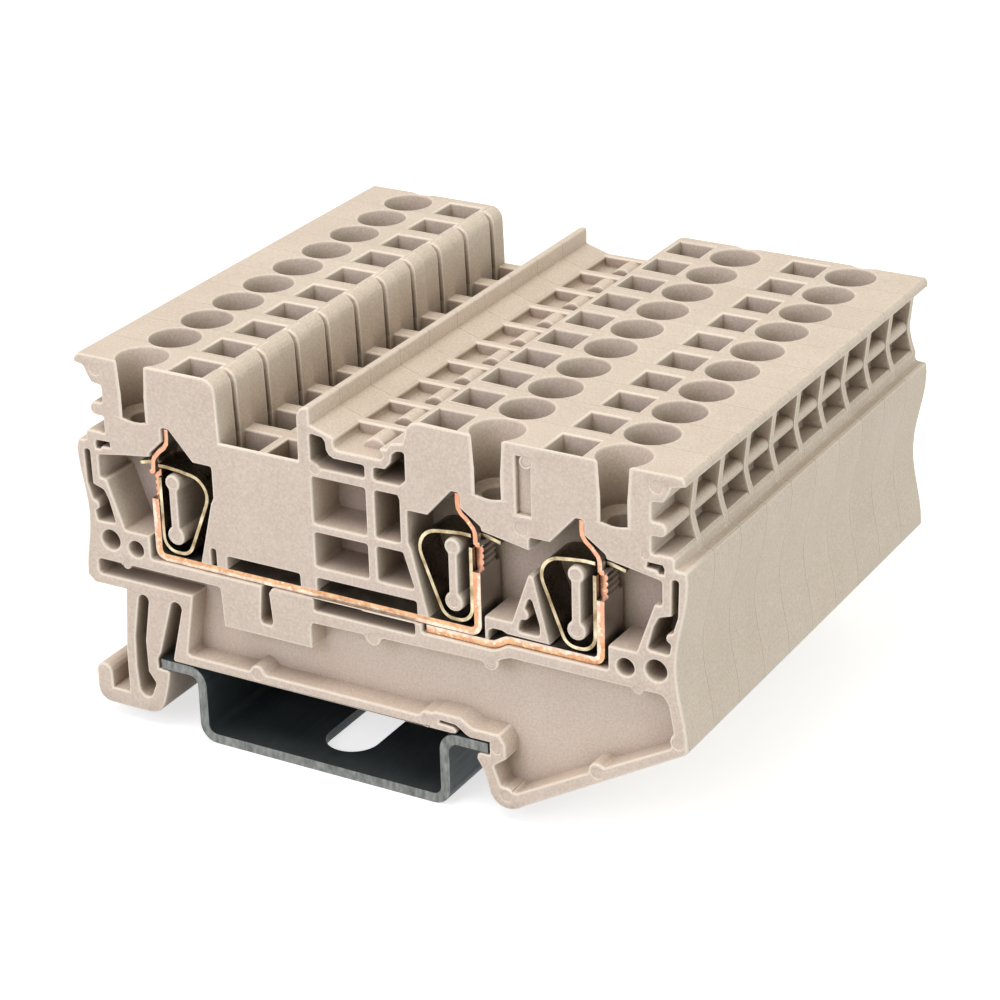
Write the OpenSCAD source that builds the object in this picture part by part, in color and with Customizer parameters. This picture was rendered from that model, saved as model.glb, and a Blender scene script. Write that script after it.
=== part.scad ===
// Row of three-conductor feed-through terminal blocks, clipped side by side on a
// 35 mm mounting rail. X runs along a block, Y along the rail and Z upwards.
// The open face of every block looks towards -Y and is closed by its neighbour.
// The origin is the centre of the rail's underside.

/* [Row] */
// Number of blocks side by side
block_count = 10; // [1:1:14]
// Rail length that one block takes up
pitch = 5.1; // [4.2:0.05:6.2]
// Air between a block and the next one
block_gap = 0.03; // [0.02:0.01:0.3]

/* [Rail] */
// Width over both flanges
rail_w = 35; // [28:0.5:42]
// Width of one flange
flange_w = 4; // [3:0.25:5]
// Height of the rail
rail_h = 7.5; // [6:0.25:15]
// Thickness of the sheet
rail_t = 1; // [0.8:0.1:1.5]
// Inside radius of the four bends
rail_bend = 0.8; // [0.3:0.1:1.5]
// Length of the rail
rail_len = 73.4; // [60:0.1:120]
// Number of oblong holes along the rail
hole_count = 3; // [1:1:4]
// Length of an oblong hole
hole_len = 18; // [12:0.5:20]
// Width of an oblong hole
hole_w = 5.2; // [4.2:0.1:6.5]
// Distance from one oblong hole to the next
hole_step = 25; // [20:1:30]

/* [Block] */
// Rail centre to the left wire entry
left_wire = 18.4; // [15:0.1:23]
// Rail centre to the middle wire entry
mid_wire = 18.2; // [15:0.1:23]
// Middle wire entry to the right one
wire_step = 12; // [11:0.1:15]
// Outer wire entry to the end of the block
end_margin = 6.8; // [6.2:0.1:9]
// Rail top to the underside of the feed bar
bar_rise = 10.25; // [8.5:0.05:13]
// Bar to the crown of a clamp spring
spring_h = 8.9; // [7.4:0.1:11]
// Clamp chamber to the top of the block
tower_h = 5.7; // [4.6:0.1:7.2]
// Thickness of the closed back wall
back_wall = 0.8; // [0.6:0.05:1.2]
// Depth of the sunk panel over the rail
panel_depth = 2.3; // [1.5:0.1:3.2]
// Depth at which the left tower steps out over the channel
step_y = 3.05; // [2.5:0.05:4]
// How far it steps out
step_out = 0.23; // [0.1:0.01:0.4]
// Width and depth of the groove before the step
step_groove = 0.35; // [0.2:0.05:0.6]
// Play between the feet and the rail
rail_fit = 0.1; // [0.05:0.01:0.3]

/* [Entries] */
// Rib left between the funnels of two blocks
funnel_rib = 0.1; // [0.06:0.02:0.6]
// Width of a funnel's rounded lip
lip_w = 0.1; // [0.05:0.01:0.4]
// Height of a funnel's rounded lip
lip_h = 0.2; // [0.1:0.02:0.6]
// How much a funnel narrows below the lip
funnel_taper = 0.1; // [0.05:0.01:0.3]
// Straight height of a wire entry
entry_h = 2.4; // [1.5:0.1:3.2]
// Wall left behind a funnel
funnel_wall = 0.6; // [0.5:0.05:1]
// Wall in front of the neck above the clamp
neck_wall = 0.5; // [0.4:0.05:0.8]
// Length of a driver slot along the block
driver_x = 3.6; // [3:0.1:4.2]
// Wall in front of a driver slot
driver_wall = 0.4; // [0.3:0.05:0.8]
// Wall behind a driver slot
driver_back = 1.3; // [0.8:0.05:1.8]

/* [Metal] */
// Thickness of the copper bars
bar_t = 0.75; // [0.5:0.05:1]
// Thickness of a bar's end tongue
tongue_t = 0.45; // [0.3:0.05:0.6]
// Depth of the notches beside the toothed clamping face
leg_notch = 0.7; // [0.4:0.05:1]
// Thickness of the spring strip
strip_t = 0.34; // [0.2:0.02:0.45]
// Distance of the metal behind the open face
metal_inset = 0.3; // [0.1:0.05:0.6]
// Air behind the metal
metal_back = 0.5; // [0.1:0.05:0.8]
// Air between metal parts and what they sit in
metal_gap = 0.04; // [0.02:0.01:0.1]

/* [Pegs] */
// Radius of the outer peg hole at each end
peg_hole = 1; // [0.8:0.05:1.2]
// Radius of the inner peg hole at each end
small_peg_hole = 0.82; // [0.6:0.02:1]
// Play of a peg in its hole
peg_play = 0.1; // [0.05:0.01:0.2]
// Length of a peg behind the block
peg_len = 1.6; // [1:0.1:2.5]

/* [Hidden] */
$fn = 48;
beige = [0.82, 0.77, 0.72];
copper = [0.86, 0.55, 0.40];
spring_gold = [0.80, 0.71, 0.52];
rail_grey = [0.24, 0.25, 0.26];

// depths, measured back from the open face
body_w = pitch - block_gap;
deep = body_w - back_wall;
bar_w = deep - metal_inset - metal_back;
strip_w = bar_w - 0.2;
metal_mid = metal_inset + bar_w / 2;
funnel_r = (pitch - funnel_rib) / 2;
entry_r = funnel_r - lip_w - funnel_taper;
entry_y = body_w - funnel_wall - funnel_r;
neck_r = entry_y - neck_wall;
row_y = -rail_len / 2;

// heights, measured up from the rail's underside
seat_z = rail_h + rail_fit / 2;
catch_z = rail_h - rail_t - rail_fit;
hook_z = rail_h + rail_fit;
run_z = rail_h + bar_rise;
run_top = run_z + bar_t;
branch_z = run_z - metal_gap - bar_t;
floor_z = run_top + 1.55;
crown_z = run_top + spring_h;
ledge_z = crown_z + 1;
peak_z = crown_z + 3.8;
mouth_z = peak_z + 0.25;
channel_z = peak_z - 0.25;
pocket_z = channel_z - 4.5;
top_z = peak_z + tower_h;
shelf_z = top_z - 2.3;
rest_z = top_z - 3.05;
groove_z = top_z - 4.15;
nub_z = ledge_z + 0.4 * (top_z - ledge_z);
plate_z = run_z - 3.85;
panel_z = run_z - 1.25;
corner_z = run_z - 6.55;
rib_z = run_top + 6.25;

// lengths along the block
wire_x = [-left_wire, mid_wire, mid_wire + wire_step];
x_left = -left_wire - end_margin;
x_right = mid_wire + wire_step + end_margin;
tower_left = 9.05 - left_wire;
groove_right = mid_wire - 8;
rib_x = mid_wire - 11.85;
pocket_x = 0.42;
nub_r = 0.67;
face_pad = [mid_wire + 3.74, top_z - 1.5];
rail_half = rail_w / 2;
channel_w = rail_w - 2 * flange_w;

// one clamp, measured from its wire axis towards the driver slot
leg_u = 1.5;
post_u = 3.7;
post_z = [run_top + 2.2, crown_z - 1.45];
slot_u = [5.75, 4.9, 4.9];
back_u = 8.1;
front_u = 4.4;
tongue_u = 3.2;
spring_u = leg_u + bar_t / 2 + strip_t / 2 + metal_gap;
base_z = run_top + 0.2 + strip_t / 2;
tongue_room = 0.12;
strip_end_w = 1.8;
window_w = strip_end_w + 0.4;
lip_u = [0.55, 0, 0];

function two(i) = str(i < 10 ? "0" : "", i);

// points of an arc from angle a to angle b
function arc(c, r, a, b, n = 5) = [
    for (i = [0:n]) c + r * [cos(a + (b - a) * i / n), sin(a + (b - a) * i / n)]
];

// points of an end wall that dips in between two heights
function waisted(x, dip, z0, z1, n = 12) = [
    for (i = [0:n]) [x + dip * (1 - cos(360 * i / n)) / 2, z0 + (z1 - z0) * i / n]
];

function unit(v) = v / norm(v);

// sideways direction of a path at point i, lengthened at bends
function side(p, i) = let(
    a = i == 0 ? unit(p[1] - p[0]) : unit(p[i] - p[i - 1]),
    b = i == len(p) - 1 ? a : unit(p[i + 1] - p[i]),
    m = unit(a + b)
) [-m[1], m[0]] / max(0.5, m * a);

// flat band of thickness t along a path
module band(p, t) {
    n = len(p);
    polygon(concat(
        [for (i = [0:n - 1]) p[i] + side(p, i) * t / 2],
        [for (i = [n - 1:-1:0]) p[i] - side(p, i) * t / 2]
    ));
}

// profile drawn in X and Z, standing between two depths
module slab(y0, y1) {
    translate([0, y1, 0])
        rotate([90, 0, 0])
            linear_extrude(y1 - y0)
                children();
}

// rounds the outward corners of a profile
module soften(r) {
    offset(r = r, $fn = 8)
        offset(delta = -r)
            children();
}

// a clamp's own frame: the wire axis is 0, the driver slot lies at minus X
module at_wire(k) {
    translate([wire_x[k], 0, 0])
        mirror([k == 0 ? 1 : 0, 0, 0])
            children();
}

// distance from an end of the block, mirrored for the left end
module at_end(right) {
    translate([right ? x_right : x_left, 0, 0])
        mirror([right ? 1 : 0, 0, 0])
            children();
}

module box2(x0, x1, z0, z1) {
    translate([x0, z0])
        square([x1 - x0, z1 - z0]);
}

// silhouette of the whole moulding
module outline() {
    soften(0.2)
        polygon(concat(
            [[x_left + 0.9, top_z]],
            arc([tower_left - 1.3, top_z - 1.3], 1.3, 90, 0),
            [[tower_left + 0.15, channel_z], [-0.95, channel_z], [-0.89, top_z - 1.85]],
            arc([0.29, top_z - 1.85], 1.18, 180, 88, 4),
            [[0.47, top_z - 0.85], [0.47, shelf_z], [2.9, rest_z], [groove_right - 2, rest_z]],
            [[groove_right - 1.6, top_z - 2.45], [groove_right - 0.35, shelf_z + 0.1]],
            arc([groove_right + 1.2, top_z - 1.2], 1.2, 180, 90),
            [[x_right - 0.5, top_z], [x_right - 0.25, top_z - 0.4]],
            [[x_right - 0.25, ledge_z], [x_right - 0.1, ledge_z]],
            waisted(x_right, -1.1, ledge_z - 1, corner_z + 0.3),
            [[x_right - 0.3, corner_z]],
            right_foot(),
            rail_seat(),
            left_foot(),
            [[x_left + 0.8, plate_z]],
            waisted(x_left, 0.75, plate_z + 0.7, ledge_z - 0.9),
            [[x_left + 0.25, ledge_z], [x_left + 0.5, top_z - 0.5]]
        ));
}

// rigid foot that hooks under the right flange
function right_foot() = concat(
    [[rail_half + 3.3, 1.95]],
    arc([rail_half + 1.85, 3.3], 1.95, -58, -175, 6),
    [[rail_half - 0.55, 4.7], [rail_half - 1.2, catch_z - 0.65], [rail_half - 1.1, catch_z - 0.2]],
    [[rail_half - 0.8, catch_z], [rail_half + rail_fit, catch_z], [rail_half + rail_fit, hook_z]],
    [[rail_half - 1.8, hook_z], [rail_half - 2.3, hook_z + 0.2], [rail_half - 2.75, hook_z + 0.55]]
);

// spring tongue over the right flange, then the flat underside
function rail_seat() = [
    [rail_half - 3.3, hook_z + 0.88], [rail_half - 4.9, hook_z + 0.95],
    [rail_half - 4.95, hook_z + 0.7], [rail_half - 3.5, hook_z + 0.6],
    [rail_half - 3.1, hook_z + 0.3], [rail_half - 3.3, hook_z],
    [rail_half - 3.8, seat_z], [1.55 - rail_half, seat_z], [1.4 - rail_half, seat_z + 0.2]
];

// springy foot under the left flange, with its release finger
function left_foot() = concat(
    arc([2.15 - rail_half, plate_z - 0.7], 0.6, 0, 180, 6),
    [[0.05 - rail_half, hook_z + 0.5], [-0.35 - rail_half, hook_z - 0.2]],
    [[-0.35 - rail_half, catch_z], [0.75 - rail_half, catch_z], [0.9 - rail_half, catch_z - 0.25]],
    [[0.6 - rail_half, 4.6], [0.2 - rail_half, 3.2]],
    arc([-1.8 - rail_half, 3.4], 1.95, -25, -90, 4),
    arc([-6.25 - rail_half, 2.8], 1.4, -90, -180, 4),
    arc([-6.75 - rail_half, 4.55], 0.9, 170, 10, 6),
    [[-5.85 - rail_half, 3.05], [-4 - rail_half, 3.05], [-3.95 - rail_half, 7.6]],
    [[-3.45 - rail_half, plate_z]]
);

// side of the left tower towards the channel, moved out by some way
function tower_side(out) = concat(
    arc([tower_left + out - 1.3, top_z - 1.3], 1.3, 90, 0),
    [[tower_left + out + 0.15, channel_z], [tower_left + out + 0.15, pocket_z]]
);

// back half of the left tower, which stands out over the channel
module tower_step() {
    polygon(concat(
        tower_side(step_out),
        [[tower_left + 0.15, pocket_z - 0.3], [tower_left - 1.1, pocket_z - 0.3]]
    ));
}

// narrow groove just before the step
module tower_groove() {
    polygon(concat(
        tower_side(-step_groove),
        [[tower_left + 0.5, pocket_z], [tower_left + 0.5, top_z + 1]],
        [[tower_left - step_groove - 1.3, top_z + 1]]
    ));
}

// long slot that makes the left foot springy
module foot_slot() {
    soften(0.3)
        polygon(concat(
            arc([-1.5 - rail_half, plate_z - 0.7], 0.55, 0, 180, 6),
            [[-2.75 - rail_half, 9.2], [-2.85 - rail_half, 6], [-2.7 - rail_half, 3.7]],
            arc([-1.95 - rail_half, 3.8], 0.75, 180, 360, 6),
            [[-0.8 - rail_half, 4.7], [-1.6 - rail_half, 5.8], [-1.65 - rail_half, 9]]
        ));
}

// chamber of one clamp, with its wire room and the slot for the bar's tongue
module chamber(k) {
    lip = lip_u[k];
    tip = tongue_u - tongue_t / 2 - tongue_room;
    polygon([
        [-back_u, crown_z + 1.05], [-6.1, crown_z + 1.05], [-3.65, peak_z], [-tip, peak_z],
        [-tip, crown_z + 2.45], [-0.85 - lip, crown_z + 1.05], [-0.75 - lip, crown_z + 0.65],
        [1.8, crown_z + 0.2], [front_u, crown_z - 0.25], [front_u, crown_z - 2.5],
        [3.7, crown_z - 2.5], [2, floor_z], [-0.7, floor_z], [-0.7, run_z - metal_gap],
        [-back_u + 1.9, run_z - metal_gap], [-back_u + 1.85, run_top],
        [-back_u + 0.3, crown_z - 2.6], [-back_u, crown_z - 2]
    ]);
}

// post that the clamp spring is wrapped around
module post() {
    translate([-post_u, post_z[1]])
        circle(0.8, $fn = 16);
    translate([-post_u, post_z[0]])
        circle(0.92, $fn = 16);
    box2(-post_u - 0.45, -post_u + 0.45, post_z[0], post_z[1]);
}

// narrow springy gap beside an end wall, seen from the end of the block
module end_gap() {
    difference() {
        polygon([
            [0.85, ledge_z - 0.9], [1.45, ledge_z - 0.9], [1.5, crown_z - 3.3],
            [2.7, crown_z - 3.7], [3.15, crown_z - 4.6], [3.75, floor_z + 0.5],
            [1.75, floor_z + 0.4], [1.35, crown_z - 4.6], [0.95, crown_z - 3.3]
        ]);
        translate([1.55, floor_z + 1.95])
            circle(0.5, $fn = 14);
    }
}

// thin hooked slot under the hollow end
module end_slot() {
    polygon([
        [2.25, ledge_z - 0.6], [2.2, ledge_z - 0.1], [2.35, ledge_z + 0.2], [3.75, ledge_z + 0.22],
        [3.8, ledge_z - 0.25], [2.85, ledge_z - 0.3], [2.65, ledge_z - 0.62]
    ]);
}

// row of pockets between the ridge and the middle clamp
module pockets() {
    right = mid_wire - 8.9;
    low = run_top + 2.5;
    high = peak_z - 1.5;
    box2(pocket_x, rib_x - 0.45, rib_z + 0.43, high);
    box2(rib_x + 0.5, right, rib_z + 0.43, high);
    box2(pocket_x, rib_x - 0.45, low, rib_z - 0.42);
    polygon([
        [rib_x + 0.5, low], [rib_x + 0.5, rib_z - 0.42], [right + 0.2, rib_z - 0.42],
        [right + 1.25, low]
    ]);
    polygon([
        [pocket_x, shelf_z - 0.8], [1.73, shelf_z - 0.96], [1.97, shelf_z - 1.35],
        [2.02, groove_z - 0.15], [2.3, groove_z - 0.64], [2.8, groove_z - 0.89],
        [rib_x - 0.45, groove_z - 0.9], [rib_x - 0.45, peak_z - 0.5],
        [1.3, peak_z - 0.5], [pocket_x, peak_z + 0.05]
    ]);
    polygon([
        [rib_x + 0.5, groove_z - 0.9], [groove_right - 2.2, groove_z - 0.85],
        [groove_right - 1.55, groove_z - 0.1], [groove_right - 1.4, groove_z + 0.7],
        [groove_right - 0.95, groove_z + 1.05], [groove_right - 0.2, groove_z + 1.15],
        [groove_right - 0.2, peak_z + 0.05], [groove_right - 0.8, peak_z - 0.5],
        [rib_x + 0.5, peak_z - 0.5]
    ]);
}

// openings along the copper bars
module bar_openings() {
    low = run_top - 0.05;
    box2(7.45 - left_wire, 8 - left_wire, low, run_top + 1.8);
    box2(9.2 - left_wire, -1.4, low, run_top + 1.35);
    box2(pocket_x, mid_wire - 7.5, low, run_top + 1.35);
    box2(-0.1, mid_wire - 7.8, panel_z, run_z - 0.1);
    polygon([
        [-5.6, run_z], [-4.5, run_z], [-4.9, run_z - 0.6], [-4.65, run_z - 3.4],
        [-4.8, run_z - 3.85], [-5.7, run_z - 3.85], [-5.9, run_z - 3.4]
    ]);
    polygon([
        [mid_wire - 0.4, run_top - 0.9], [mid_wire - 0.35, run_top + 0.15],
        [mid_wire + 0.1, run_top + 0.5], [mid_wire + 1, run_top + 0.5],
        [mid_wire + 1.6, run_top + 0.25], [mid_wire + wire_step - 6.2, run_top + 0.2],
        [mid_wire + wire_step - 6.2, run_top - 0.2], [mid_wire + 1.9, run_top - 0.2]
    ]);
}

// bed of the two copper bars
module bar_bed() {
    box2(-left_wire + 1, mid_wire - 1, run_z - metal_gap, run_top + metal_gap);
    band(branch_path(0.3), bar_t + 2 * metal_gap);
}

// triangular hole in the rib between the middle and right clamps
module rib_hole() {
    x = mid_wire + 3.9;
    difference() {
        polygon([
            [x - 0.05, crown_z - 4.3], [x + 0.8, floor_z + 0.3], [x + 0.8, floor_z - 0.75],
            [x - 1.25, floor_z - 0.75], [x - 1.15, floor_z]
        ]);
        translate([x - 0.75, floor_z + 1])
            circle(0.55, $fn = 14);
    }
}

// everything that reaches back to the closed wall
module deep_shapes() {
    soften(0.22)
        difference() {
            union() {
                for (k = [0:2]) {
                    at_wire(k)
                        chamber(k);
                }
                for (right = [false, true]) {
                    at_end(right)
                        end_gap();
                }
                pockets();
                bar_openings();
                bar_bed();
                rib_hole();
            }
            for (k = [0:2]) {
                at_wire(k)
                    post();
            }
        }
}

// sunk panel above the rail, with round ejector pads left on its rim
module panel() {
    rim = seat_z + 1.05;
    mid = run_z - 2.6;
    soften(0.3)
        difference() {
            polygon([
                [x_left + 1.4, panel_z], [8.2 - left_wire, panel_z], [8.4 - left_wire, run_z - 5.15],
                [-0.5, run_z - 5.15], [-0.5, mid], [mid_wire - 0.6, mid + 0.4],
                [mid_wire + 1.8, panel_z], [x_right - 2.4, panel_z], [x_right - 1.8, panel_z - 0.8],
                [x_right - 1.3, corner_z + 1.6], [x_right - 1.6, corner_z + 0.4],
                [rail_half + 2.7, 3.15], [rail_half + 1.3, 3.2], [rail_half + 0.5, catch_z - 1.05],
                [rail_half + 1.75, catch_z - 0.1], [rail_half + 1.75, hook_z + 0.1],
                [rail_half + 1.1, hook_z + 1], [rail_half - 1.6, hook_z + 1],
                [rail_half - 2.7, hook_z + 1.75], [rail_half - 5.4, hook_z + 1.75],
                [rail_half - 6.5, rim], [3.1 - rail_half, rim], [4.2 - rail_half, plate_z + 1.1],
                [x_left + 1.4, plate_z + 1.1]
            ]);
            for (p = pads()) {
                translate([p[0], p[1]])
                    circle(p[2], $fn = 16);
            }
        }
}

function pads() = [
    [-2.2 - left_wire, panel_z, 0.45], [-6.7, seat_z + 1, 0.8], [6, run_z - 2.5, 0.85],
    [mid_wire - 0.2, run_z - 2.1, 0.8], [x_right - 4.7, panel_z, 0.5],
    [x_right - 0.9, corner_z + 1.1, 0.8], [rail_half + 10.8, 7.45, 0.85],
    [rail_half + 1.7, 2.75, 0.75], [rail_half - 6.2, seat_z + 0.75, 0.9]
];

// flat ejector marks on the open face
function marks() = concat(
    [for (p = pads()) [p[0], p[1] - 0.1, min(p[2], 0.55)]],
    [for (k = [0:2]) for (z = post_z)
        [wire_x[k] + (k == 0 ? post_u : -post_u), z, 0.5]],
    [[x_right - 2.85, top_z - 1.25, 0.6], [x_left + 2.85, top_z - 1.25, 0.6]],
    [[face_pad[0], face_pad[1], 0.55], [mid_wire + 3.2, crown_z + 1.8, 0.66]],
    [[x_right - 3.9, ledge_z + 0.9, 0.4], [rail_half + 0.85, catch_z + 0.75, 0.5]],
    [[0.8, peak_z - 0.7, 0.45]]
);

// end of the block above the ledge: hollow in front of the back wall
module end_hollow() {
    soften(0.2)
        difference() {
            polygon([
                [3.35, top_z - 2.75], [2.3, top_z - 2.6], [1.75, top_z - 1.7], [1.5, top_z - 1.1],
                [0.3, top_z - 0.85], [-2, top_z - 0.85], [-2, ledge_z], [1.2, ledge_z],
                [1.2, ledge_z + 0.85], [1.5, ledge_z + 1.15], [2.7, ledge_z + 1.15],
                [3.35, ledge_z + 1]
            ]);
            translate([2.6, nub_z])
                circle(nub_r, $fn = 16);
            box2(2.6, 4, nub_z - nub_r, nub_z + nub_r);
        }
}

// the back wall draws in less between the lip and the ledge
module end_waist() {
    soften(0.3)
        polygon([
            [-2, top_z - 0.85], [0.4, top_z - 0.85], [1.1, top_z - 1.3], [1.55, top_z - 2.1],
            [1.85, nub_z + 0.3], [1.85, nub_z - 0.3], [1.6, ledge_z + 2], [1.2, ledge_z + 0.85],
            [1.2, ledge_z], [-2, ledge_z]
        ]);
}

// marker groove in front of the back wall, with a hooked edge
module groove() {
    soften(0.2)
        polygon([
            [2.6, rest_z + 0.1], [2.95, rest_z - 0.1], [2.85, groove_z + 0.5], [2.95, groove_z + 0.15],
            [3.25, groove_z], [groove_right - 2.55, groove_z], [groove_right - 2.3, groove_z + 0.5],
            [groove_right - 2.7, groove_z + 0.9], [groove_right - 2.4, groove_z + 1.4],
            [groove_right - 1.6, shelf_z - 0.15], [groove_right - 1.6, top_z], [2.6, top_z]
        ]);
}

// shallow groove in the open face beside the middle tower
module face_groove() {
    difference() {
        box2(mid_wire + 2.73, mid_wire + 4.1, crown_z + 3, top_z - 1.14);
        translate(face_pad)
            circle(0.64, $fn = 16);
    }
}

// wire entry from the neck up: a flat mouth, a straight bore, a taper and a rounded lip
module wire_entry() {
    mouth_h = (entry_r - neck_r) / 2;
    steps = 3;
    lip = [
        for (i = [0:steps])
            [funnel_r - lip_w * cos(90 * i / steps), top_z - lip_h * (1 - sin(90 * i / steps))]
    ];
    translate([0, entry_y, 0])
        rotate_extrude()
            polygon(concat(
                [[0, crown_z], [neck_r, crown_z], [neck_r, mouth_z - mouth_h], [entry_r, mouth_z]],
                [[entry_r, mouth_z + entry_h]],
                lip,
                [[funnel_r, top_z + 1], [0, top_z + 1]]
            ));
}

// square shaft for the screwdriver that opens the clamp
module driver_slot(u) {
    back = body_w - driver_back;
    translate([-u - driver_x / 2, driver_wall, crown_z + 0.9])
        cube([driver_x, back - driver_wall, top_z - crown_z]);
}

// pockets in the floor of the low channel beside the ridge
module channel_pockets() {
    deep_y = body_w - driver_back - driver_wall;
    depth = channel_z - pocket_z;
    x0 = tower_left + 0.15;
    x1 = -1.3;
    rib = 0.9;
    mid = x0 + 0.56 * (x1 - x0);
    translate([x0, driver_wall, pocket_z])
        cube([mid - rib / 2 - x0, deep_y, depth + 1]);
    translate([mid + rib / 2, driver_wall, pocket_z])
        cube([x1 - mid - rib / 2, deep_y, depth + 1]);
}

function peg_spots() = [
    [x_left + 3.05, run_top + 0.22, peg_hole], [x_left + 5.85, run_top - 0.15, small_peg_hole],
    [x_right - 2.95, run_top + 0.22, peg_hole], [x_right - 5.85, run_top - 0.15, small_peg_hole]
];

// one moulding
module housing() {
    color(beige) {
        difference() {
            slab(0, body_w)
                outline();
            slab(-1, deep)
                deep_shapes();
            slab(-1, panel_depth)
                panel();
            slab(-1, body_w + 1)
                foot_slot();
            for (right = [false, true]) {
                slab(-1, deep)
                    at_end(right) {
                        end_hollow();
                        end_slot();
                    }
                slab(deep - 0.01, body_w + 1)
                    at_end(right)
                        end_waist();
            }
            slab(-1, deep)
                groove();
            slab(-1, 0.6)
                face_groove();
            for (k = [0:2]) {
                at_wire(k) {
                    wire_entry();
                    translate([0, pitch, 0])
                        wire_entry();
                    driver_slot(slot_u[k]);
                }
            }
            channel_pockets();
            slab(step_y - step_groove, step_y)
                tower_groove();
            for (p = peg_spots()) {
                translate([p[0], -1, p[1]])
                    rotate([-90, 0, 0])
                        cylinder(h = peg_len + 1.9, r = p[2]);
            }
            for (p = marks()) {
                translate([p[0], -1, p[1]])
                    rotate([-90, 0, 0])
                        cylinder(h = 1.07, r = p[2]);
            }
        }
        for (p = peg_spots()) {
            translate([p[0], body_w - 0.3, p[1]])
                rotate([-90, 0, 0])
                    cylinder(h = peg_len + 0.3, r = p[2] - peg_play);
        }
        slab(step_y, body_w)
            tower_step();
        marker_rest();
    }
}

// half-round rest for a marker strip
module marker_rest() {
    translate([rib_x - 0.4, 1.9, groove_z - 0.25])
        rotate([-90, 0, 0])
            cylinder(h = deep - 1.6, r = 1.2);
}

// centre line of the feed bar between its two legs
function feed_path() = let(
    r = bar_t,
    z = run_z + bar_t / 2,
    top = crown_z - 3.5,
    a = leg_u - left_wire,
    b = mid_wire - leg_u
) concat(
    [[a, top]],
    arc([a + r, z + r], r, 180, 270, 6),
    arc([b - r, z + r], r, 270, 360, 6),
    [[b, top]]
);

// centre line of the branch bar: flat, a joggle, flat again and up
function branch_path(longer = 0) = let(
    r = bar_t,
    z0 = branch_z + bar_t / 2,
    z1 = run_z + bar_t / 2 - metal_gap / 2,
    x = mid_wire + 0.7,
    b = mid_wire + wire_step - leg_u
) concat(
    [[mid_wire - 6.75 - longer, z0], [x - 1, z0]],
    [for (i = [0:6]) [x - 0.9 + 1.9 * i / 6, z0 + (z1 - z0) * (1 - cos(30 * i)) / 2]],
    arc([b - r, z1 + r], r, 270, 360, 6),
    [[b, crown_z - 3.5]]
);

// toothed clamping face of a bar leg, on the side of the wire
module leg_teeth() {
    difference() {
        box2(-leg_u - bar_t / 2, -leg_u + bar_t / 2, crown_z - 3.7, crown_z - 0.75);
        for (i = [0:3]) {
            translate([-leg_u + bar_t / 2, crown_z - 3.1 + 0.6 * i])
                rotate(45)
                    square(0.24, center = true);
        }
    }
}

// rounded head over the teeth, as wide as the bar
module leg_head() {
    soften(0.12)
        box2(-leg_u - 0.1, -leg_u + 0.42, crown_z - 1.08, crown_z - 0.62);
}

// tongue over the head, which leans back into its slot
module leg_tongue() {
    c = crown_z;
    band([
        [-leg_u, c - 0.9], [-leg_u - 0.05, c + 0.2], [-leg_u - 0.2, c + 0.6], [-leg_u - 0.8, c + 1.3],
        [-tongue_u + 0.35, c + 1.75], [-tongue_u + 0.05, c + 2.25], [-tongue_u, c + 2.7],
        [-tongue_u, c + 3.65]
    ], tongue_t);
}

// the end of a spring reaches through a window in the tongue
module bar_end(k) {
    at_wire(k) {
        slab(metal_inset + leg_notch, metal_inset + bar_w - leg_notch)
            leg_teeth();
        slab(metal_inset, metal_inset + bar_w)
            leg_head();
        difference() {
            slab(metal_inset, metal_inset + bar_w)
                leg_tongue();
            translate([-leg_u - 0.5, metal_mid - window_w / 2, crown_z - 0.62])
                cube([1, window_w, 0.8]);
        }
    }
}

// copper bar from the left clamp to the middle one
module feed_bar() {
    color(copper) {
        slab(metal_inset, metal_inset + bar_w)
            band(feed_path(), bar_t);
        bar_end(0);
        bar_end(1);
    }
}

// copper bar under it that feeds the right clamp
module branch_bar() {
    color(copper) {
        slab(metal_inset, metal_inset + bar_w)
            band(branch_path(), bar_t);
        bar_end(2);
    }
}

// centre line of a clamp spring
function spring_path() = let(
    r1 = 1.4,
    r2 = 1.35,
    r3 = 1.9,
    c1 = [-spring_u - r1, base_z + r1],
    c2 = [-spring_u - 1.85, base_z + r2],
    c3 = [-5.28, crown_z - 2.33],
    d = c3 - c2,
    lean = atan2(d[1], d[0]) + acos((r2 - r3) / norm(d))
) concat(
    [[-spring_u, crown_z - 1.3]],
    arc(c1, r1, 0, -90, 7),
    arc(c2, r2, 270, lean, 5),
    arc(c3, r3, lean, 100, 7),
    [[-4.2, crown_z - 0.26], [-2.9, crown_z - 0.14], [-1.8, crown_z - 0.18]],
    [[-0.8, crown_z - 0.3], [0.5, crown_z - 0.64]]
);

// three clamp springs; the narrow end of each reaches through a bar's tongue
module clamp_springs() {
    y0 = metal_mid - strip_w / 2;
    color(spring_gold) {
        for (k = [0:2]) {
            at_wire(k) {
                difference() {
                    slab(y0, y0 + strip_w)
                        band(spring_path(), strip_t);
                    for (s = [-1, 1]) {
                        translate([-leg_u + 1, metal_mid + s * (strip_w + strip_end_w) / 2, crown_z])
                            cube([3, strip_w, 2], center = true);
                    }
                }
            }
        }
    }
}

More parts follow.
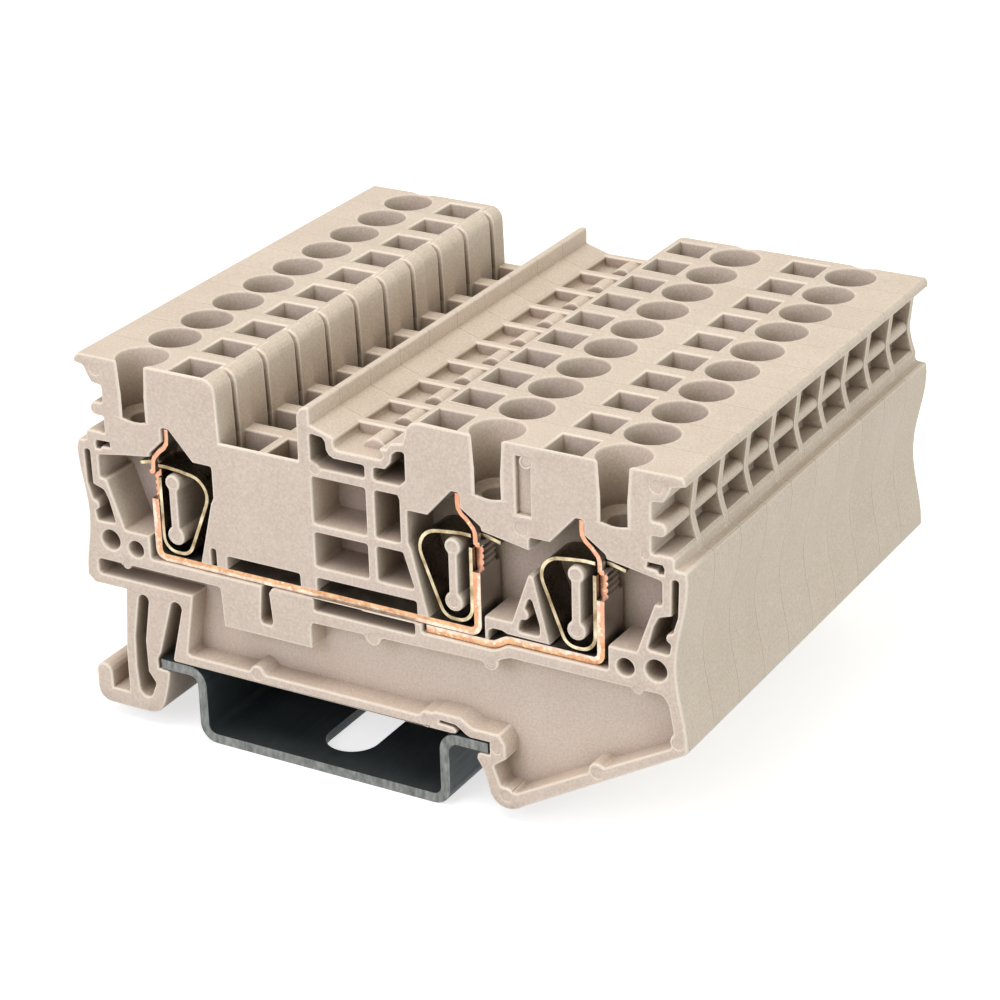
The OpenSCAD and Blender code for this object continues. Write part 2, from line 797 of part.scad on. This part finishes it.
// perforated top-hat rail
module rail() {
    r = rail_bend + rail_t / 2;
    z0 = rail_t / 2;
    z1 = rail_h - rail_t / 2;
    w = channel_w / 2 - rail_t / 2;
    half = concat(
        arc([w - r, z0 + r], r, 270, 360, 6),
        arc([w + r, z1 - r], r, 180, 90, 6),
        [[rail_half, z1]]
    );
    mirrored = [for (i = [len(half) - 1:-1:0]) [-half[i][0], half[i][1]]];
    first = -rail_len / 2 + (rail_len - hole_step * (hole_count - 1)) / 2;
    color(rail_grey)
        difference() {
            slab(-rail_len / 2, rail_len / 2)
                band(concat(mirrored, half), rail_t);
            for (i = [0:hole_count - 1]) {
                translate([0, first + hole_step * i, -1]) {
                    for (s = [-1, 1]) {
                        translate([0, s * (hole_len - hole_w) / 2, 0])
                            cylinder(h = rail_t + 2, r = hole_w / 2);
                    }
                    translate([-hole_w / 2, -(hole_len - hole_w) / 2, 0])
                        cube([hole_w, hole_len - hole_w, rail_t + 2]);
                }
            }
        }
}

module in_row(i) {
    translate([0, row_y + pitch * (i - 1), 0])
        children();
}

rail();
for (i = [1:block_count]) {
    in_row(i) housing();
    in_row(i) feed_bar();
    in_row(i) branch_bar();
    in_row(i) clamp_springs();
}
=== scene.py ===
"""Looks for a row of feed-through terminal blocks on a mounting rail."""
import math

import bmesh
import bpy
from mathutils import Matrix, Vector
from mathutils.geometry import delaunay_2d_cdt


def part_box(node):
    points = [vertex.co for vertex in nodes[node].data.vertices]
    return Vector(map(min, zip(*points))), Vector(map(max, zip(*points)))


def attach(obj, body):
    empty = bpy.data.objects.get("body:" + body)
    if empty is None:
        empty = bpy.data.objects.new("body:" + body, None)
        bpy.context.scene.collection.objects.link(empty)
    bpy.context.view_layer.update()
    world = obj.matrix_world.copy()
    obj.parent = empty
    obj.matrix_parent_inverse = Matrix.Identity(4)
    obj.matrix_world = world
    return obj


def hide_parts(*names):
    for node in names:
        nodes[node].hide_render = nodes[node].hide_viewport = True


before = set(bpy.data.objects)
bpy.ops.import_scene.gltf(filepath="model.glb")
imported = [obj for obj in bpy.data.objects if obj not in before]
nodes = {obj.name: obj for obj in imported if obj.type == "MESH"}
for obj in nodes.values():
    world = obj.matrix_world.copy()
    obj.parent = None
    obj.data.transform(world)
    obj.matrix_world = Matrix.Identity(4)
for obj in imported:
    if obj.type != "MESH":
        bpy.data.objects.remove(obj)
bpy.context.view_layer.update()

MM = 0.001

# the blocks are alike: the first one's meshes serve the whole row
BLOCKS = sorted(name.split("_")[1] for name in nodes if name.startswith("housing_"))
FIRST = BLOCKS[0]
LAST = BLOCKS[-1]
FRONT_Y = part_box("housing_" + FIRST)[0].y
BODY_DEPTH = 5.07 * MM

# edge roundings; a moulding's edges that meet the next block stay sharp
FRONT_EDGE = 0.18 * MM
TOP_RIM = 0.18 * MM
INNER_EDGE = 0.06 * MM
BAR_EDGE = 0.05 * MM
STRIP_EDGE = 0.03 * MM
SHEET_EDGE = 0.08 * MM
# a front edge takes up at most this share of the wall behind it
EDGE_SHARE = 0.7
# the middle driver slot runs into the rounded top of its tower here
THIN_RIM_X = 11.5 * MM

# mesh work
WELD = 0.002 * MM
SAME_PLACE = 0.01 * MM
FLAT = math.radians(0.3)
SHARP = math.radians(50)
CREASE = math.radians(40)
FILL_EPSILON = 1e-6
INSIDE_ONLY = 1
RIM_INDEX = 1

# the least part of a unit normal along an axis for a face to look that way
LOOKS_FORWARD = 0.9
LOOKS_UP = 0.8
LOOKS_ALONG = 0.7

# painted shade and painted edge highlight of the plastic: how near a wall has to be, and
# where each starts and ends
AO_SAMPLES = 3
HOLLOW_REACH = 5 * MM
EDGE_REACH = 0.3 * MM
SEAM_FADE = (0.1 * MM, 0.3 * MM)
TOP_FADE = (33.5 * MM, 36.5 * MM)
FUNNEL_FLOOR = 31 * MM
FUNNEL_FADE = (31.2 * MM, 35 * MM)
WHITE = (1, 1, 1)

# copper bars, and where their cut edges change colour
BAR_T = 0.75 * MM
HEAD_OVERHANG = 0.42 * MM
JOGGLE = (6.55 * MM, 8.45 * MM)
JOGGLE_RISE = 0.77 * MM
UPRIGHT_FADE = (19.6 * MM, 21 * MM)
TONGUE_FADE = (23.6 * MM, 24 * MM)
# painted reflection: how far the pale half of a cut edge wanders, and where it fades in
REFLECTION_WAVE = 0.10 * MM
REFLECTION_FADE = (-0.02 * MM, 0.10 * MM)
# stands for a side of the bar's outline that has no bend, in metres
FAR = 1


# Edges and shading

def refill(bm):
    """Cuts each many-sided flat face into triangles that stay inside its outline."""
    for face in [f for f in bm.faces if len(f.verts) > 4]:
        turn = face.normal.rotation_difference(Vector((0, 0, 1)))
        corners = list(face.verts)
        flat = [(turn @ v.co).to_2d() / MM for v in corners]
        height = (turn @ corners[0].co).z
        points, _, triangles, source, _, _ = delaunay_2d_cdt(
            flat, [], [list(range(len(flat)))], INSIDE_ONLY, FILL_EPSILON)
        verts = []
        for point, found in zip(points, source):
            if found:
                verts.append(corners[found[0]])
            else:
                place = Vector((point.x * MM, point.y * MM, height))
                verts.append(bm.verts.new(turn.inverted() @ place))
        index = face.material_index
        bm.faces.remove(face)
        for triangle in triangles:
            three = [verts[i] for i in triangle]
            if len(set(three)) == 3 and not bm.faces.get(three):
                bm.faces.new(three).material_index = index
    bmesh.ops.recalc_face_normals(bm, faces=bm.faces)


def whole_faces(node):
    """A node's mesh with its flat faces in one piece again, ready to be worked on."""
    bm = bmesh.new()
    bm.from_mesh(nodes[node].data)
    bmesh.ops.remove_doubles(bm, verts=bm.verts, dist=WELD)
    bmesh.ops.dissolve_limit(
        bm, angle_limit=FLAT, use_dissolve_boundaries=False,
        verts=bm.verts, edges=bm.edges,
    )
    return bm


def shown(mesh, modifier, **values):
    """The mesh as a modifier leaves it."""
    helper = bpy.data.objects.new("helper", mesh)
    bpy.context.scene.collection.objects.link(helper)
    step = helper.modifiers.new("step", modifier)
    for key, value in values.items():
        setattr(step, key, value)
    bpy.context.view_layer.update()
    graph = bpy.context.evaluated_depsgraph_get()
    done = bpy.data.meshes.new_from_object(helper.evaluated_get(graph))
    bpy.data.objects.remove(helper)
    return done


def weighted_edges(node, width_of):
    """A node's mesh, its outward edges weighted for a bevel, and the widest width."""
    def width(edge):
        outward = len(edge.link_faces) == 2 and edge.is_convex
        return width_of(edge) if outward and edge.calc_face_angle() > SHARP else 0

    bm = whole_faces(node)
    widths = [width(edge) for edge in bm.edges]
    widest = max(widths)
    share = bm.edges.layers.float.new("bevel_weight_edge")
    for edge, size in zip(bm.edges, widths):
        edge[share] = size / widest
    mesh = bpy.data.meshes.new("plain")
    bm.to_mesh(mesh)
    bm.free()
    # the frame's own normals would smear the shading over the new edges
    old_normals = mesh.attributes.get("custom_normal")
    if old_normals:
        mesh.attributes.remove(old_normals)
    return mesh, widest


def rounded_mesh(node, name, width_of):
    """A copy of a node's mesh whose outward edges are rounded, each by its own width.

    Its face attribute rim is 1 on the rounded strips. The bevel marks them for that
    by a material index, which goes back to 0.
    """
    plain, widest = weighted_edges(node, width_of)
    for part in ("face", "rim"):
        plain.materials.append(bpy.data.materials.new(part))
    rounded = shown(
        plain, "BEVEL", width=widest, segments=2, limit_method="WEIGHT",
        offset_type="OFFSET", use_clamp_overlap=False, miter_outer="MITER_SHARP",
        material=RIM_INDEX,
    )
    bm = bmesh.new()
    bm.from_mesh(rounded)
    refill(bm)
    low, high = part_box(node)
    for vert in bm.verts:
        vert.co = [min(max(c, a), b) for c, a, b in zip(vert.co, low, high)]
    rim = bm.faces.layers.float.new("rim")
    for face in bm.faces:
        face[rim] = face.material_index == RIM_INDEX
        face.material_index = 0
    bm.to_mesh(rounded)
    bm.free()
    rounded.materials.clear()
    rounded.shade_smooth()
    rounded.set_sharp_from_angle(angle=CREASE)
    done = shown(rounded, "WEIGHTED_NORMAL", keep_sharp=True, weight=80)
    done.name = name
    return done


def moulding_widths(front, back):
    """Edge widths of a housing: its front and back outlines, its top rims and the rest."""
    def lies_at(edge, axis, place):
        return all(abs(v.co[axis] - place) < SAME_PLACE for v in edge.verts)

    def width(edge):
        if lies_at(edge, 1, FRONT_Y):
            walls = [f for f in edge.link_faces if abs(f.normal.y) < LOOKS_FORWARD]
            depth = max((v.co.y - FRONT_Y for f in walls for v in f.verts), default=0)
            return min(front, EDGE_SHARE * depth)
        if lies_at(edge, 1, FRONT_Y + BODY_DEPTH):
            return back
        if lies_at(edge, 0, THIN_RIM_X):
            return 0
        if any(f.normal.z > LOOKS_UP for f in edge.link_faces):
            return TOP_RIM
        return INNER_EDGE
    return width


def moulding(name, front=0, back=0):
    """A housing with rounded edges, also on its front or back where that is open."""
    mesh = rounded_mesh("housing_" + FIRST, name, moulding_widths(front, back))
    if front:
        # open_face lets the painted edge highlight reach this block's open front
        mark = mesh.attributes.new("open_face", "FLOAT", "FACE")
        mark.data.foreach_set("value", [1.0] * len(mesh.polygons))
    return mesh


def evenly_rounded(node, name, width):
    """A metal piece with the same rounding on all its edges."""
    return rounded_mesh(node, name, lambda edge: width)


# Materials

class Shader:
    """A material's node tree, with short ways to add and join nodes.

    A value is a number, a colour, a node or a node's output.
    """

    def __init__(self, name):
        self.material = bpy.data.materials.new(name)
        self.material.use_nodes = True
        self.tree = self.material.node_tree
        self.tree.nodes.clear()
        self.bsdf = self.add("ShaderNodeBsdfPrincipled")
        self.join(self.bsdf, self.add("ShaderNodeOutputMaterial").inputs["Surface"])
        coords = self.add("ShaderNodeTexCoord").outputs["Object"]
        self.x, self.y, self.z = self.axes(coords)
        # noise is shifted by a random amount for each piece
        self.chance = self.add("ShaderNodeObjectInfo").outputs["Random"]
        self.place = self.add("ShaderNodeVectorMath", operation="ADD")
        self.join(coords, self.place.inputs[0])
        self.join(self.chance, self.place.inputs[1])

    def add(self, kind, **values):
        """A node; each value is set on its input of that name, or else on itself."""
        node = self.tree.nodes.new(kind)
        for key, value in values.items():
            if key in node.inputs:
                node.inputs[key].default_value = value
            else:
                setattr(node, key, value)
        return node

    def join(self, value, socket):
        """Gives a value to an input."""
        if isinstance(value, (int, float)):
            socket.default_value = value
        elif isinstance(value, tuple):
            socket.default_value = (*value, 1)
        else:
            self.tree.links.new(self.output(value), socket)

    @staticmethod
    def output(value):
        """A node's main output, or an output as it is."""
        if not hasattr(value, "outputs"):
            return value
        return value.outputs[2 if value.bl_idname == "ShaderNodeMix" else 0]

    def drive(self, value, name):
        """Gives a value to an input of the surface."""
        self.join(value, self.bsdf.inputs[name])

    def axes(self, vector):
        """A vector's three parts."""
        node = self.add("ShaderNodeSeparateXYZ")
        self.join(vector, node.inputs[0])
        return node.outputs

    def noise(self, size, detail=2.0, rough=0.5, stretch=None):
        """Noise with features of a given size in millimetres."""
        node = self.add(
            "ShaderNodeTexNoise", Scale=1 / (size * MM), Detail=detail, Roughness=rough)
        place = self.place
        if stretch:
            place = self.add("ShaderNodeVectorMath", operation="MULTIPLY")
            place.inputs[1].default_value = stretch
            self.join(self.place, place.inputs[0])
        self.join(place, node.inputs["Vector"])
        return node

    def spread(self, value, low, high, span=(0.3, 0.7), smooth=False):
        """Maps a span of a value to the range from low to high."""
        node = self.add("ShaderNodeMapRange")
        node.interpolation_type = "SMOOTHSTEP" if smooth else "LINEAR"
        ends = ("From Min", "From Max", "To Min", "To Max")
        for name, end in zip(ends, (*span, low, high)):
            node.inputs[name].default_value = end
        self.join(value, node.inputs["Value"])
        return node

    def calc(self, operation, *values):
        """A Math node."""
        node = self.add("ShaderNodeMath", operation=operation)
        for value, socket in zip(values, node.inputs):
            self.join(value, socket)
        return node

    def mix(self, factor, a, b, blend="MIX"):
        """Mixes two colours."""
        node = self.add("ShaderNodeMix", data_type="RGBA", blend_type=blend)
        for value, index in ((factor, 0), (a, 6), (b, 7)):
            self.join(value, node.inputs[index])
        return node

    def times(self, a, b):
        """One colour multiplied by another."""
        return self.mix(1, a, b, "MULTIPLY")

    def attribute(self, name):
        """A number that the mesh carries, or 0 where it has none of that name."""
        return self.add("ShaderNodeAttribute", attribute_name=name).outputs["Fac"]

    def openness(self, distance, **values):
        """1 where no wall lies within a distance of a point, or inside=True behind it."""
        node = self.add(
            "ShaderNodeAmbientOcclusion", samples=AO_SAMPLES, Distance=distance, **values)
        return node.outputs["AO"]

    def beyond(self, value, low, high):
        """How far a value lies past the nearer of two limits, negative between them."""
        off_middle = self.calc("ABSOLUTE", self.calc("SUBTRACT", value, (low + high) / 2))
        return self.calc("SUBTRACT", off_middle, (high - low) / 2)

    def cut_face(self):
        """1 on faces that look along the rail, where sheet and strip are cut off."""
        normal = self.add("ShaderNodeNewGeometry").outputs["True Normal"]
        along = self.calc("ABSOLUTE", self.axes(normal)[1])
        return self.calc("GREATER_THAN", along, LOOKS_ALONG)

    def bump(self, value, strength, depth):
        """Raises the surface by a value, to a depth in millimetres."""
        node = self.add("ShaderNodeBump", Strength=strength, Distance=depth * MM)
        self.join(value, node.inputs["Height"])
        self.drive(node, "Normal")


def painted_edge_highlight(s):
    """Painted highlight: how pale a moulding's rims and outward edges are painted, standing
    in for light caught by rounded edges; those in a seam stay plain.
    """
    thickness = s.openness(EDGE_REACH, inside=True, only_local=True)
    thin = s.spread(thickness, 0.6, 0, (0.45, 0.95))
    from_front = s.spread(s.calc("SUBTRACT", s.y, FRONT_Y), 0, 1, SEAM_FADE)
    from_back = s.spread(s.calc("SUBTRACT", FRONT_Y + BODY_DEPTH, s.y), 0, 1, SEAM_FADE)
    front = s.calc("MAXIMUM", from_front, s.attribute("open_face"))
    off_seam = s.calc("MULTIPLY", from_back, front)
    rim = s.calc("MULTIPLY", s.attribute("rim"), 0.5)
    return s.calc("MAXIMUM", s.calc("MULTIPLY", thin, off_seam), rim)


def hollow_shade(s):
    """A colour to multiply by: dark in hollows, and darker the deeper a funnel goes."""
    sky = s.openness(HOLLOW_REACH)
    below_top = s.spread(s.z, 1, 0.35, TOP_FADE)
    hollow = s.calc("MULTIPLY", s.spread(sky, 1, 0, (0.06, 0.56)), below_top)
    in_funnel = s.calc("GREATER_THAN", s.z, FUNNEL_FLOOR)
    depth = s.calc("MULTIPLY", s.spread(s.z, 1, 0, FUNNEL_FADE), in_funnel)
    sunk = s.calc("MULTIPLY", s.spread(sky, 1, 0, (0.25, 0.42)), depth)
    return s.times(
        s.mix(hollow, WHITE, (0.30, 0.255, 0.21)), s.mix(sunk, WHITE, (0.42, 0.36, 0.28)))


def moulded_plastic():
    """Pale warm beige polyamide: fine spark-eroded grain and a faint flow mottle, with a
    painted highlight on its edges and painted shade in its hollows.
    """
    s = Shader("moulded_plastic")
    grain = s.noise(0.22, detail=3, rough=0.6)
    mottle = s.noise(4.0)
    base = s.mix(s.spread(mottle, 0, 1), (0.685, 0.570, 0.492), (0.715, 0.605, 0.528))
    grained = s.mix(s.spread(grain, 0, 1), (0.87, 0.87, 0.86), (1.11, 1.11, 1.11))
    batch = s.mix(s.chance, (0.98, 0.98, 0.975), (1.02, 1.02, 1.02))
    before_highlight = s.times(s.times(base, grained), batch)
    # painted highlight: rims and outward edges mixed towards a pale cream
    edge_highlighted = s.mix(painted_edge_highlight(s), before_highlight, (1.0, 0.91, 0.80))
    # painted shade: the colour is multiplied down in hollows, and more the deeper a funnel
    # goes
    s.drive(s.times(edge_highlighted, hollow_shade(s)), "Base Color")
    s.drive(s.spread(grain, 0.50, 0.66), "Roughness")
    s.drive(0.35, "Specular IOR Level")
    s.bump(grain, 0.25, 0.03)
    return s.material


def bar_side(s, node, joggled):
    """Distance from the centre line of a bent bar, positive on the outside of its bends."""
    low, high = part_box(node)
    right = high.x - HEAD_OVERHANG
    left = low.x + HEAD_OVERHANG
    bottom = low.z + BAR_T / 2
    z = s.z
    if joggled:
        left = right - FAR
        bottom += JOGGLE_RISE
        ramp = [low.x + x for x in JOGGLE]
        z = s.calc("SUBTRACT", z, s.spread(s.x, -JOGGLE_RISE, 0, ramp, smooth=True))
    radius = BAR_T
    dx = s.beyond(s.x, left + radius, right - radius)
    dz = s.beyond(z, bottom + radius, bottom + 2 * FAR - radius)
    outside = [s.calc("MAXIMUM", d, 0) for d in (dx, dz)]
    corner = s.calc("SQRT", s.calc("ADD", *[s.calc("MULTIPLY", d, d) for d in outside]))
    inside = s.calc("MINIMUM", s.calc("MAXIMUM", dx, dz), 0)
    return s.calc("SUBTRACT", s.calc("ADD", corner, inside), radius)


def copper(name, node, joggled):
    """Tin-plated copper: the broad faces are grey, the cut edges bare, with a painted
    reflection on the outer half of each cut edge.
    """
    s = Shader(name)
    patches = s.noise(1.3, detail=3)
    lines = s.noise(0.16, detail=3, stretch=(0.25, 1, 0.25))
    ticks = s.noise(0.35)
    streaks = s.noise(0.9, detail=4, rough=0.7)
    flat = s.mix(s.spread(streaks, 0, 1), (0.56, 0.24, 0.12), (0.88, 0.57, 0.32))
    upright = s.mix(s.spread(patches, 0, 1), (0.70, 0.31, 0.18), (0.86, 0.48, 0.33))
    bare = s.mix(s.spread(s.z, 0, 1, UPRIGHT_FADE), flat, upright)
    # painted reflection: the outer half of each cut edge is pale, where a rounded edge
    # would mirror the white room; it stops above the tongue
    painted_reflection = s.mix(s.spread(lines, 0, 1), (0.64, 0.46, 0.36), (0.92, 0.80, 0.67))
    side = s.calc("MULTIPLY", bar_side(s, node, joggled), -1 if joggled else 1)
    wavy = s.calc("ADD", side, s.spread(lines, -REFLECTION_WAVE, REFLECTION_WAVE))
    reflecting_side = s.spread(wavy, 0, 1, REFLECTION_FADE)
    below_tongue = s.spread(s.z, 1, 0, TONGUE_FADE)
    edge = s.mix(s.calc("MULTIPLY", reflecting_side, below_tongue), bare, painted_reflection)
    marked = s.mix(s.spread(ticks, 0, 1, (0.62, 0.72)), edge, (0.97, 0.80, 0.58))
    tin = s.mix(s.spread(patches, 0, 1), (0.36, 0.34, 0.31), (0.47, 0.45, 0.41))
    s.drive(s.mix(s.cut_face(), tin, marked), "Base Color")
    s.drive(s.spread(patches, 0.30, 0.45), "Roughness")
    s.drive(1, "Metallic")
    s.bump(lines, 0.15, 0.01)
    return s.material


def spring_strip():
    """Rolled spring steel: broad faces painted dark as painted shade, standing in for the
    dark chambers they mirror, and pale golden cut edges with painted highlights in patches.
    """
    s = Shader("spring_strip")
    patches = s.noise(1.8, detail=3)
    lines = s.noise(0.12, stretch=(0.3, 1, 0.3))
    # cut edges: golden, with painted highlights in pale patches and brown between
    edge = s.mix(
        s.spread(patches, 0, 1, (0.36, 0.64)), (0.31, 0.22, 0.115), (0.84, 0.73, 0.50))
    # painted shade: the broad faces are dark, standing in for the dark chambers they mirror
    broad_painted_dark = s.mix(s.spread(lines, 0, 1), (0.10, 0.085, 0.065), (0.17, 0.145, 0.115))
    s.drive(s.mix(s.cut_face(), broad_painted_dark, edge), "Base Color")
    s.drive(s.spread(lines, 0.24, 0.38), "Roughness")
    s.drive(1, "Metallic")
    s.bump(lines, 0.12, 0.008)
    return s.material


def rail_steel():
    """Dark passivated steel sheet, drawn along the rail and bare where it is cut off."""
    s = Shader("rail_steel")
    cloud = s.noise(6, detail=4)
    drawn = s.noise(0.5, detail=3, stretch=(1, 0.05, 1))
    shear = s.noise(0.35, detail=3, stretch=(1, 1, 0.35))
    skin = s.mix(s.spread(cloud, 0, 1), (0.040, 0.052, 0.056), (0.068, 0.083, 0.087))
    bare = s.mix(s.spread(shear, 0, 1), (0.13, 0.14, 0.135), (0.30, 0.31, 0.30))
    s.drive(s.mix(s.cut_face(), skin, bare), "Base Color")
    s.drive(s.spread(drawn, 0.34, 0.52), "Roughness")
    s.drive(0.5, "Metallic")
    s.bump(drawn, 0.15, 0.02)
    return s.material


# The object

def stand_in(mesh, material, name, node, body, along=0):
    """Shows a mesh in place of a node, moved along the rail to that node's place."""
    piece = bpy.data.objects.new(name, mesh)
    bpy.context.scene.collection.objects.link(piece)
    piece.location.y = along
    mesh.materials.clear()
    mesh.materials.append(material)
    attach(piece, body)
    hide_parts(node)


def add_rail():
    rail = evenly_rounded("rail", "hat_rail", SHEET_EDGE)
    stand_in(rail, rail_steel(), "hat_rail", "rail", "rail")


def add_blocks():
    """Every block's moulding, two bars and springs, each riding on its block."""
    feed_node = "feed_bar_" + FIRST
    branch_node = "branch_bar_" + FIRST
    plain = moulding("moulding")
    ends = {
        FIRST: moulding("first_moulding", front=FRONT_EDGE),
        LAST: moulding("last_moulding", back=FRONT_EDGE),
    }
    feed = evenly_rounded(feed_node, "feed", BAR_EDGE)
    branch = evenly_rounded(branch_node, "branch", BAR_EDGE)
    springs = evenly_rounded("clamp_springs_" + FIRST, "clamp", STRIP_EDGE)
    plastic = moulded_plastic()
    feed_metal = copper("feed_copper", feed_node, joggled=False)
    branch_metal = copper("branch_copper", branch_node, joggled=True)
    steel = spring_strip()
    for number in BLOCKS:
        pieces = (
            (ends.get(number, plain), plastic, "moulding_", "housing_", "housing"),
            (feed, feed_metal, "feed_strip_", "feed_bar_", "copper"),
            (branch, branch_metal, "branch_strip_", "branch_bar_", "copper"),
            (springs, steel, "spring_set_", "clamp_springs_", "spring"),
        )
        body = "block_" + number
        for mesh, material, name, node, slot in pieces:
            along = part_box(node + number)[0].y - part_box(node + FIRST)[0].y
            stand_in(mesh, material, name + number, node + number, body, along)


# Camera

AZIMUTH = math.radians(30.3146)
ELEVATION = math.radians(24.8529)
ROLL = math.radians(-1.5441)
FOCAL_PX = 3058.68
FRAME_PX = 1000
DISTANCE = 280.6283 * MM
SHIFT_RIGHT = 15.1168 * MM
SHIFT_UP = 24.1077 * MM
TARGET_BEHIND_FRONT = 1.9677 * MM


def add_camera():
    """Camera at the photograph's viewpoint, aimed from the open face of the first block."""
    back = Vector((
        math.sin(AZIMUTH) * math.cos(ELEVATION),
        -math.cos(AZIMUTH) * math.cos(ELEVATION),
        math.sin(ELEVATION),
    ))
    flat_right = Vector((0, 0, 1)).cross(back).normalized()
    flat_up = back.cross(flat_right)
    right = math.cos(ROLL) * flat_right + math.sin(ROLL) * flat_up
    up = math.cos(ROLL) * flat_up - math.sin(ROLL) * flat_right
    target = Vector((0, FRONT_Y + TARGET_BEHIND_FRONT, 0))
    data = bpy.data.cameras.new("camera")
    data.sensor_fit = "HORIZONTAL"
    data.sensor_width = 36
    data.lens = FOCAL_PX / FRAME_PX * data.sensor_width
    data.clip_start = 0.01
    data.clip_end = 20
    camera = bpy.data.objects.new("camera", data)
    bpy.context.scene.collection.objects.link(camera)
    turn = Matrix((right, up, back)).transposed().to_4x4()
    turn.translation = target + SHIFT_RIGHT * right + SHIFT_UP * up + DISTANCE * back
    camera.matrix_world = turn
    bpy.context.scene.camera = camera


# Light, floor and background

AMBIENT = (0.66, 0.67, 0.59)
LIGHTS = {
    "key": dict(
        place=(-0.10, -0.50, 0.30), aim=(0.005, -0.02, 0.02),
        size=0.30, watts=0.85, colour=(0.79, 0.76, 1.0)),
    "top": dict(
        place=(-0.06, -0.20, 0.60), aim=(0.005, 0, 0.02),
        size=0.30, watts=1.35, colour=(1, 0.94, 0.82)),
    "side": dict(
        place=(0.60, -0.12, 0.13), aim=(0.005, 0, 0.02),
        size=0.22, watts=0.60, colour=(0.80, 0.92, 1.0)),
}
FLOOR_HALF = 4
FLOOR_DROP = 0.02 * MM
FLOOR_GREY = 0.62
FLOOR_GLOW = 0.68


def add_light(name, place, aim, size, watts, colour):
    """A round soft light that shines from a place to a point."""
    data = bpy.data.lights.new(name, "AREA")
    data.shape = "DISK"
    data.size = size
    data.energy = watts
    data.color = colour
    lamp = bpy.data.objects.new(name, data)
    lamp.location = place
    lamp.rotation_euler = (Vector(aim) - Vector(place)).to_track_quat("-Z", "Y").to_euler()
    bpy.context.scene.collection.objects.link(lamp)


def seen_rays(tree):
    """1 for rays that show the background: seen directly, mirrored or through glass."""
    path = tree.nodes.new("ShaderNodeLightPath")
    seen = path.outputs["Is Camera Ray"]
    for name in ("Is Glossy Ray", "Is Transmission Ray"):
        larger = tree.nodes.new("ShaderNodeMath")
        larger.operation = "MAXIMUM"
        tree.links.new(seen, larger.inputs[0])
        tree.links.new(path.outputs[name], larger.inputs[1])
        seen = larger.outputs[0]
    return seen


def add_world():
    """Even light from all round, and a white background."""
    world = bpy.data.worlds.new("studio")
    bpy.context.scene.world = world
    world.use_nodes = True
    tree = world.node_tree
    level = tree.nodes.new("ShaderNodeMix")
    level.data_type = "RGBA"
    level.inputs[6].default_value = (*AMBIENT, 1)
    level.inputs[7].default_value = (*WHITE, 1)
    tree.links.new(seen_rays(tree), level.inputs[0])
    tree.links.new(level.outputs[2], tree.nodes["Background"].inputs["Color"])


def add_floor():
    """White floor that keeps a soft shadow and fades into the background."""
    mesh = bpy.data.meshes.new("floor")
    corners = [(-1, -1), (1, -1), (1, 1), (-1, 1)]
    mesh.from_pydata(
        [(x * FLOOR_HALF, y * FLOOR_HALF, 0) for x, y in corners], [], [(0, 1, 2, 3)])
    floor = bpy.data.objects.new("floor", mesh)
    floor.location.z = -FLOOR_DROP
    bpy.context.scene.collection.objects.link(floor)
    material = bpy.data.materials.new("floor")
    material.use_nodes = True
    tree = material.node_tree
    tree.nodes.clear()
    diffuse = tree.nodes.new("ShaderNodeBsdfDiffuse")
    diffuse.inputs["Color"].default_value = (FLOOR_GREY, FLOOR_GREY, FLOOR_GREY, 1)
    glow = tree.nodes.new("ShaderNodeEmission")
    level = tree.nodes.new("ShaderNodeMath")
    level.operation = "MULTIPLY"
    level.inputs[1].default_value = FLOOR_GLOW
    both = tree.nodes.new("ShaderNodeAddShader")
    out = tree.nodes.new("ShaderNodeOutputMaterial")
    tree.links.new(seen_rays(tree), level.inputs[0])
    tree.links.new(level.outputs[0], glow.inputs["Strength"])
    tree.links.new(diffuse.outputs[0], both.inputs[0])
    tree.links.new(glow.outputs[0], both.inputs[1])
    tree.links.new(both.outputs[0], out.inputs["Surface"])
    mesh.materials.append(material)


add_rail()
add_blocks()
add_camera()
add_world()
add_floor()
for light, values in LIGHTS.items():
    add_light(light, **values)

bpy.context.scene.view_settings.view_transform = "Standard"
